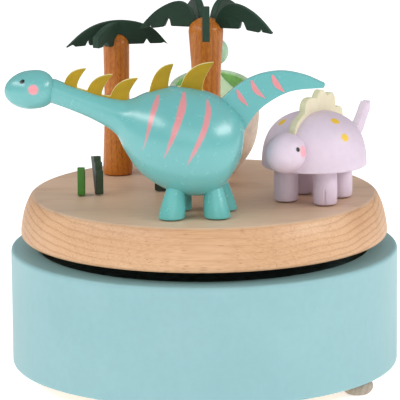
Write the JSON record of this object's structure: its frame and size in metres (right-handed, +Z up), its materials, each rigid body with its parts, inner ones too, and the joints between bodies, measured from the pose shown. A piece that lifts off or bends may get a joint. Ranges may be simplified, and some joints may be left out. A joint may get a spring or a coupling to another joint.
{
  "type": "cylinder music box",
  "caption": "Round painted drum holding a clockwork pinned-cylinder movement that turns a wooden disc carrying toy dinosaurs, a hatching egg, palms and grass.",
  "frame": {"origin": "on the drum axis, at the level of the undersides of the feet", "axes": "+Z up along the axis that the turntable turns on, +X to the right, +Y away from the front, where the long-necked dinosaur stands"},
  "size_m": [0.116, 0.116, 0.1121],
  "materials": {
    "aqua_paint": "turned wood, sprayed aqua, satin on the drum and gloss on the dinosaur",
    "beech": "bare beech, fine sanded",
    "plywood": "bare plywood",
    "black_board": "black stained board, matte",
    "zinc_casting": "cast zinc alloy, plain",
    "brass": "machined and brushed",
    "steel": "ground and hardened",
    "lilac_paint": "turned wood, painted lilac, matte",
    "cream_paint": "sawn board, painted cream, matte",
    "mustard_paint": "sawn board, painted mustard, satin",
    "speckled_shell": "turned wood, painted speckled beige outside and green inside, matte",
    "mint_paint": "turned wood, painted mint, satin",
    "lime_paint": "turned wood, painted pale green, satin",
    "varnished_wood": "turned wood, amber stain under varnish",
    "leaf_green_paint": "sawn board, painted dark green, satin",
    "grass_green_paint": "sawn board, painted bright green, satin",
    "dark_grass_paint": "sawn board, painted dark green, satin"
  },
  "bodies": {
    "drum": {"bedplate": "zinc_casting", "bottom_cover": "plywood", "comb": "steel", "comb_screw_1": "steel", "comb_screw_2": "steel", "cover_screw_1": "steel", "cover_screw_2": "steel", "cover_screw_3": "steel", "deck_plate": "black_board", "drum_shell": "aqua_paint", "foot_1": "beech", "foot_2": "beech", "foot_3": "beech", "foot_4": "beech", "mainspring": "steel", "movement_screw_1": "steel", "movement_screw_2": "steel", "movement_screw_3": "steel", "spring_housing": "brass"},
    "turntable": {"big_palm_leaf_1": "leaf_green_paint", "big_palm_leaf_2": "leaf_green_paint", "big_palm_leaf_3": "leaf_green_paint", "big_palm_leaf_4": "leaf_green_paint", "big_palm_leaf_5": "leaf_green_paint", "big_palm_trunk": "varnished_wood", "bronto_back_crest": "mustard_paint", "bronto_body": "aqua_paint", "bronto_head": "aqua_paint", "bronto_leg_1": "aqua_paint", "bronto_leg_2": "aqua_paint", "bronto_leg_3": "aqua_paint", "bronto_leg_4": "aqua_paint", "bronto_neck_crest": "mustard_paint", "bronto_tail": "aqua_paint", "egg_shell": "speckled_shell", "grass_1": "grass_green_paint", "grass_2": "dark_grass_paint", "grass_3": "dark_grass_paint", "hatchling_body": "lime_paint", "hatchling_head": "mint_paint", "hub_screw_1": "steel", "hub_screw_2": "steel", "key_shaft": "brass", "small_palm_leaf_1": "leaf_green_paint", "small_palm_leaf_2": "leaf_green_paint", "small_palm_trunk": "varnished_wood", "stego_body": "lilac_paint", "stego_crest": "cream_paint", "stego_head": "lilac_paint", "stego_leg_1": "lilac_paint", "stego_leg_2": "lilac_paint", "stego_leg_3": "lilac_paint", "stego_leg_4": "lilac_paint", "stego_tail": "lilac_paint", "turntable_disc": "beech", "turntable_hub": "brass"},
    "cylinder": {"cylinder_arbor": "steel", "pin_cylinder": "brass"},
    "idler": {"idler_wheel": "brass"},
    "governor": {"governor_worm": "steel"}
  },
  "joints": [
    {"name": "turntable_turn", "type": "hinge", "parent": "drum", "child": "turntable", "pos_m": [0, 0, 0], "axis": [0, 0, 1], "continuous": true},
    {"name": "cylinder_turn", "type": "hinge", "parent": "drum", "child": "cylinder", "pos_m": [0.0223, 0, 0.02], "axis": [1, 0, 0], "continuous": true},
    {"name": "idler_turn", "type": "hinge", "parent": "drum", "child": "idler", "pos_m": [0.03535, 0.008, 0.02], "axis": [1, 0, 0], "continuous": true},
    {"name": "governor_turn", "type": "hinge", "parent": "drum", "child": "governor", "pos_m": [0.03535, 0.014, 0.02], "axis": [0, 0, 1], "continuous": true}
  ],
  "couplings": [
    {"joint": "cylinder_turn", "follows": "turntable_turn", "ratio": -4},
    {"joint": "idler_turn", "follows": "turntable_turn", "ratio": 16},
    {"joint": "governor_turn", "follows": "turntable_turn", "ratio": -160}
  ]
}
